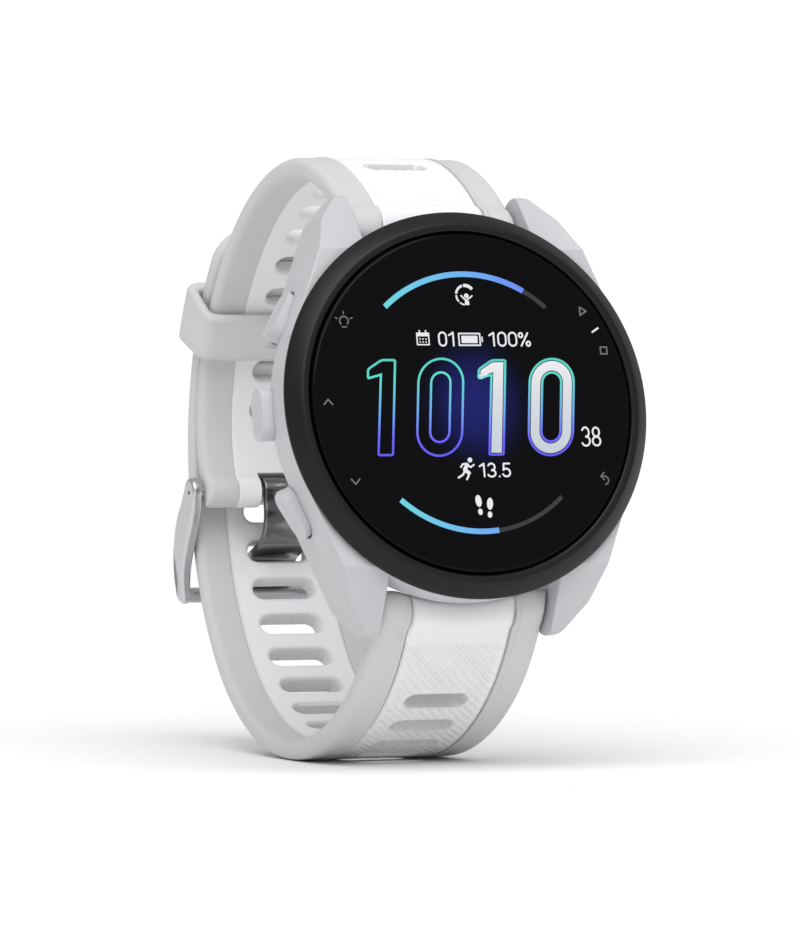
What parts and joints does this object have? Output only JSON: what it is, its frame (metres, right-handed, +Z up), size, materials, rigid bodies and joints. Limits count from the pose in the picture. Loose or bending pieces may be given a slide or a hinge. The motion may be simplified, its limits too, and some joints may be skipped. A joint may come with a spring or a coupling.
{
  "type": "gps running watch",
  "caption": "Round sports watch with a black bezel, side push buttons and a two-tone perforated silicone strap closed by a tang buckle and keeper.",
  "frame": {"origin": "on the ground under the middle of the watch, which stands on its buckled strap loop with the dial upright", "axes": "+X is the dial's right-hand side seen from the front, +Y points away from the dial towards the back of the strap loop, +Z is up"},
  "size_m": [0.0439, 0.0652, 0.068],
  "materials": {
    "case_grey": "fibre-reinforced polymer, fine satin texture",
    "bezel_black": "black with a dark grey satin bevel",
    "lens_glass": "polished chemically strengthened glass over a black display",
    "display_panel": "lit display",
    "seal_rubber": "soft seal",
    "chassis_plastic": "moulded",
    "board_green": "solder mask",
    "cell_foil": "foil pouch",
    "motor_steel": "coin can",
    "brass": "thin sheet",
    "sensor_glass": "dark optical window",
    "contact_gold": "gold-plated pins",
    "cover_grey": "fine satin",
    "screw_steel": "plain",
    "button_grey": "satin",
    "strap_grey": "matt silicone, light grey",
    "strap_white": "matt silicone, white, with fine ribs",
    "keeper_grey": "matt silicone",
    "bar_steel": "turned",
    "buckle_steel": "dark brushed stainless"
  },
  "bodies": {
    "case": {"case_middle": "case_grey", "bezel_ring": "bezel_black", "lens": "lens_glass", "lens_gasket": "seal_rubber", "display_module": "display_panel", "inner_chassis": "chassis_plastic", "main_board": "board_green", "battery": "cell_foil", "vibration_motor": "motor_steel", "buzzer": "brass", "gps_antenna": "brass", "button_switches": "chassis_plastic", "sensor_board": "board_green", "sensor_window": "sensor_glass", "charging_contacts": "contact_gold", "rear_cover": "cover_grey", "rear_cover_seal": "seal_rubber", "rear_screws": "screw_steel", "button_seals": "seal_rubber", "lower_strap_edges": "strap_grey", "lower_strap_core": "strap_white", "lower_bar_tube": "bar_steel", "lower_bar_pin": "bar_steel"},
    "button_light": {"button_light": "button_grey", "button_light_clip": "screw_steel"},
    "button_up": {"button_up": "button_grey", "button_up_clip": "screw_steel"},
    "button_down": {"button_down": "button_grey", "button_down_clip": "screw_steel"},
    "button_start_stop": {"button_start_stop": "button_grey", "button_start_stop_clip": "screw_steel"},
    "button_back": {"button_back": "button_grey", "button_back_clip": "screw_steel"},
    "lower_release": {"lower_release_pin": "bar_steel"},
    "upper_strap": {"upper_strap_edges": "strap_grey", "upper_strap_core": "strap_white", "upper_bar_tube": "bar_steel", "upper_bar_pin": "bar_steel"},
    "upper_release": {"upper_release_pin": "bar_steel"},
    "keeper": {"keeper_loop": "keeper_grey"},
    "buckle_frame": {"buckle_frame": "buckle_steel", "buckle_pin": "buckle_steel"},
    "buckle_tang": {"buckle_tang": "buckle_steel"}
  },
  "joints": [
    {"name": "press_light", "type": "slide", "parent": "case", "child": "button_light", "axis": [0.866, -0.0971, -0.4905], "range_m": [0, 0.00045], "stiffness_N_per_m": 600},
    {"name": "press_up", "type": "slide", "parent": "case", "child": "button_up", "axis": [1, 0, 0], "range_m": [0, 0.00045], "stiffness_N_per_m": 600},
    {"name": "press_down", "type": "slide", "parent": "case", "child": "button_down", "axis": [0.866, 0.0971, 0.4905], "range_m": [0, 0.00045], "stiffness_N_per_m": 600},
    {"name": "press_start_stop", "type": "slide", "parent": "case", "child": "button_start_stop", "axis": [-0.866, -0.0971, -0.4905], "range_m": [0, 0.00045], "stiffness_N_per_m": 600},
    {"name": "press_back", "type": "slide", "parent": "case", "child": "button_back", "axis": [-0.866, 0.0971, 0.4905], "range_m": [0, 0.00045], "stiffness_N_per_m": 600},
    {"name": "upper_strap_flex", "type": "hinge", "parent": "case", "child": "upper_strap", "pos_m": [0, -0.01612, 0.06066], "axis": [1, 0, 0], "range_deg": [-2, 4], "stiffness_Nm_per_rad": 0.6, "deforming": ["lower_strap_edges", "lower_strap_core"]},
    {"name": "keeper_slide", "type": "hinge", "parent": "upper_strap", "child": "keeper", "pos_m": [0, -0.0011, 0.0358], "axis": [1, 0, 0], "range_deg": [-10, 1]},
    {"name": "buckle_lift", "type": "hinge", "parent": "upper_strap", "child": "buckle_frame", "pos_m": [0, 0.0264, 0.0299], "axis": [1, 0, 0], "range_deg": [0, 6]},
    {"name": "tang_lift", "type": "hinge", "parent": "upper_strap", "child": "buckle_tang", "pos_m": [0, 0.0264, 0.0299], "axis": [1, 0, 0], "range_deg": [0, 6]},
    {"name": "upper_release_slide", "type": "slide", "parent": "upper_strap", "child": "upper_release", "axis": [1, 0, 0], "range_m": [0, 0.0013], "stiffness_N_per_m": 500},
    {"name": "lower_release_slide", "type": "slide", "parent": "case", "child": "lower_release", "axis": [1, 0, 0], "range_m": [0, 0.0013], "stiffness_N_per_m": 500}
  ],
  "couplings": [
    {"joint": "tang_lift", "follows": "buckle_lift", "ratio": 1}
  ]
}
